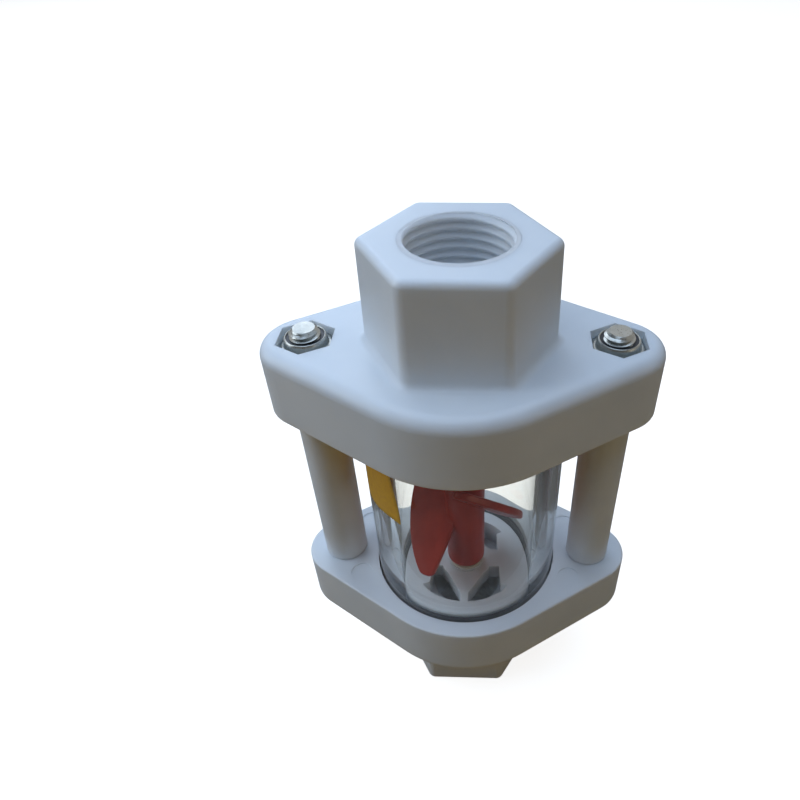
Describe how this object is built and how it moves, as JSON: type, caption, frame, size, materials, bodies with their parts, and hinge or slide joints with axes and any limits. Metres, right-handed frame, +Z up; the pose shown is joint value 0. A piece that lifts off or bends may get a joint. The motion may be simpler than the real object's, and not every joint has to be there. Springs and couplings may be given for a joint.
{
  "type": "impeller flow indicator",
  "caption": "Inline sight-glass flow indicator: two white moulded end caps with hexagonal threaded ports clamp a clear tube round a spinning red impeller.",
  "frame": {"origin": "centre of the lower port's face, which the part stands on", "axes": "+Z up along the flow axis, X from bolt to bolt, Y across"},
  "size_m": [0.0782, 0.051, 0.1185],
  "materials": {
    "white_abs": "injection moulded ABS, satin",
    "sight_glass": "clear drawn tube with ground ends",
    "black_rubber": "moulded nitrile, matt",
    "zinc_steel": "bright zinc plated",
    "dark_nylon": "moulded nylon",
    "red_plastic": "moulded, semi-gloss",
    "stainless_steel": "ground",
    "bearing_plastic": "turned, waxy",
    "yellow_paper": "coated self-adhesive paper"
  },
  "bodies": {
    "housing": {"lower_end_cap": "white_abs", "upper_end_cap": "white_abs", "left_pillar": "white_abs", "right_pillar": "white_abs", "lower_guide_plate": "white_abs", "upper_guide_plate": "white_abs", "glass_tube": "sight_glass", "lower_gasket": "black_rubber", "upper_gasket": "black_rubber", "left_bolt": "zinc_steel", "right_bolt": "zinc_steel", "left_lock_nut": "zinc_steel", "right_lock_nut": "zinc_steel", "left_nut_insert": "dark_nylon", "right_nut_insert": "dark_nylon", "lower_bearing_bush": "bearing_plastic", "upper_bearing_bush": "bearing_plastic", "inspection_sticker": "yellow_paper"},
    "rotor": {"impeller": "red_plastic", "impeller_shaft": "stainless_steel", "lower_thrust_washer": "bearing_plastic", "upper_thrust_washer": "bearing_plastic"}
  },
  "joints": [
    {"name": "impeller_spin", "type": "hinge", "parent": "housing", "child": "rotor", "pos_m": [0, 0, 0.05925], "axis": [0, 0, 1], "continuous": true}
  ]
}
